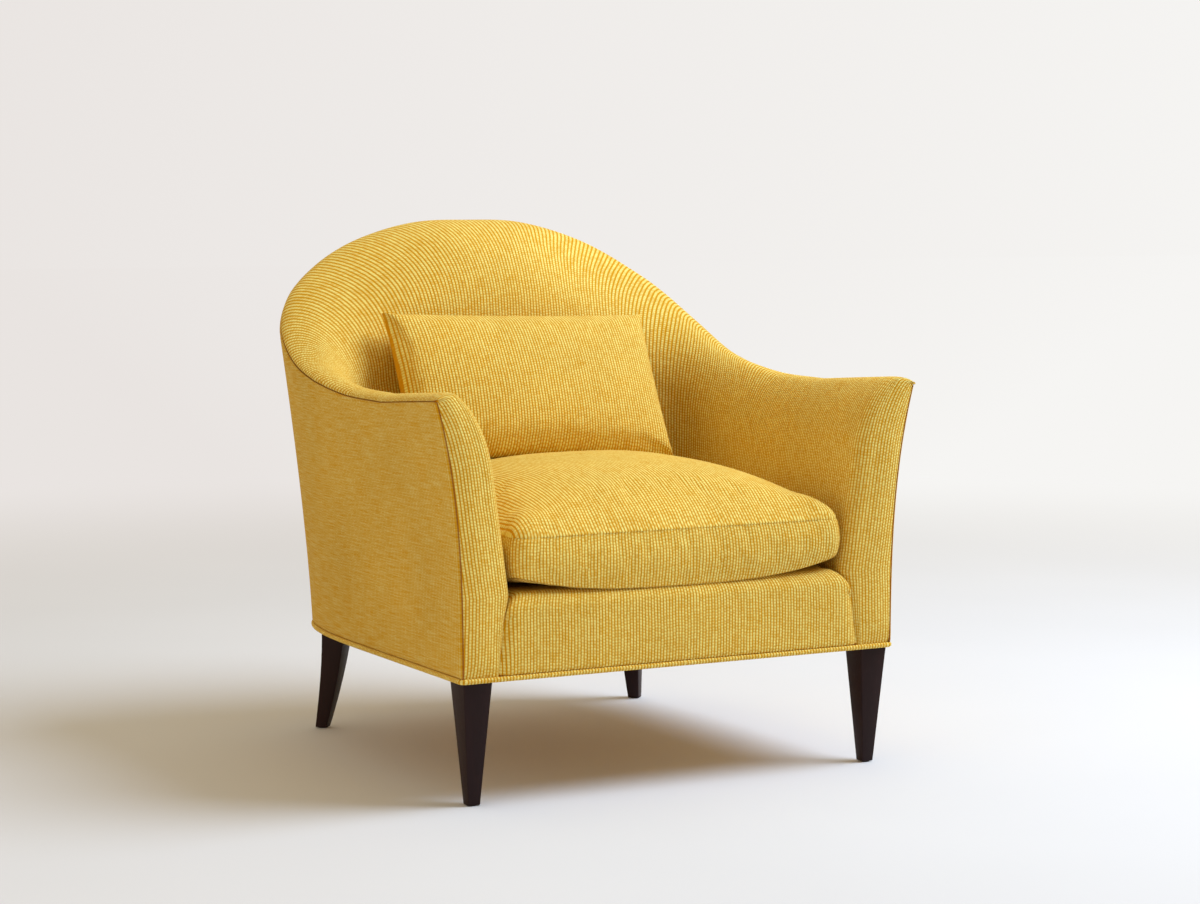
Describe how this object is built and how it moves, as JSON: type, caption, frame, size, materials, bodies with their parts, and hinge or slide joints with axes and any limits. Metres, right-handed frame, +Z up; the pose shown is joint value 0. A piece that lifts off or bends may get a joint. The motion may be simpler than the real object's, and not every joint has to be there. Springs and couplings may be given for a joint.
{
  "type": "upholstered lounge chair",
  "caption": "Upholstered lounge chair: curved tub back sweeping into flared arms, loose boxed seat cushion, lumbar pillow, tapered dark wood legs.",
  "frame": {"origin": "on the floor under the middle of the chair's outline", "axes": "+Z up, the seat opens towards -Y, +X to the right of someone who looks at the front"},
  "size_m": [0.823, 0.7866, 0.848],
  "materials": {
    "fabric": "golden yellow ribbed weave",
    "foam": "foam and wadding, matte",
    "beech": "raw hardwood, sawn",
    "card": "grey-brown card, matte",
    "webbing": "dark woven webbing",
    "lining_cloth": "black non-woven cloth",
    "dark_wood": "espresso stain, satin",
    "steel": "zinc-plated",
    "nylon": "black moulded"
  },
  "bodies": {
    "chair": {"front_rail": "beech", "back_rail": "beech", "side_rail_left": "beech", "side_rail_right": "beech", "back_corner_block_left": "beech", "back_corner_block_right": "beech", "front_corner_blocks": "beech", "front_post_left": "beech", "front_post_right": "beech", "back_post_left": "beech", "back_post_right": "beech", "arm_rail_left": "beech", "arm_rail_right": "beech", "crest_rail": "beech", "arm_tack_rail_left": "beech", "arm_tack_rail_right": "beech", "back_tack_rail": "beech", "seat_straps_long": "webbing", "seat_straps_cross": "webbing", "back_straps": "webbing", "arm_lining_left": "webbing", "arm_lining_right": "webbing", "outside_arm_card_left": "card", "outside_arm_card_right": "card", "outside_back_card": "card", "outside_arm_cover_left": "fabric", "outside_arm_cover_right": "fabric", "outside_back_cover": "fabric", "inside_cover": "fabric", "arm_pad_left": "foam", "arm_pad_right": "foam", "back_pad": "foam", "front_border_pad": "foam", "front_border_cover": "fabric", "deck_pad": "foam", "deck_cover": "fabric", "dust_cover": "lining_cloth", "base_welt": "fabric", "leg_front_left": "dark_wood", "leg_front_right": "dark_wood", "leg_back_left": "dark_wood", "leg_back_right": "dark_wood", "leg_bolts": "steel", "foot_glides": "nylon"},
    "seat_cushion": {"seat_cushion_core": "foam", "seat_cushion_top_panel": "fabric", "seat_cushion_bottom_panel": "fabric", "seat_cushion_boxing": "fabric"},
    "lumbar_pillow": {"lumbar_pillow_core": "foam", "lumbar_pillow_front_panel": "fabric", "lumbar_pillow_back_panel": "fabric"}
  },
  "joints": [
    {"name": "seat_cushion_lift", "type": "slide", "parent": "chair", "child": "seat_cushion", "axis": [0, 0, 1], "range_m": [0, 0.34]},
    {"name": "lumbar_pillow_lift", "type": "slide", "parent": "seat_cushion", "child": "lumbar_pillow", "axis": [0, 0, 1], "range_m": [0, 0.36]}
  ]
}
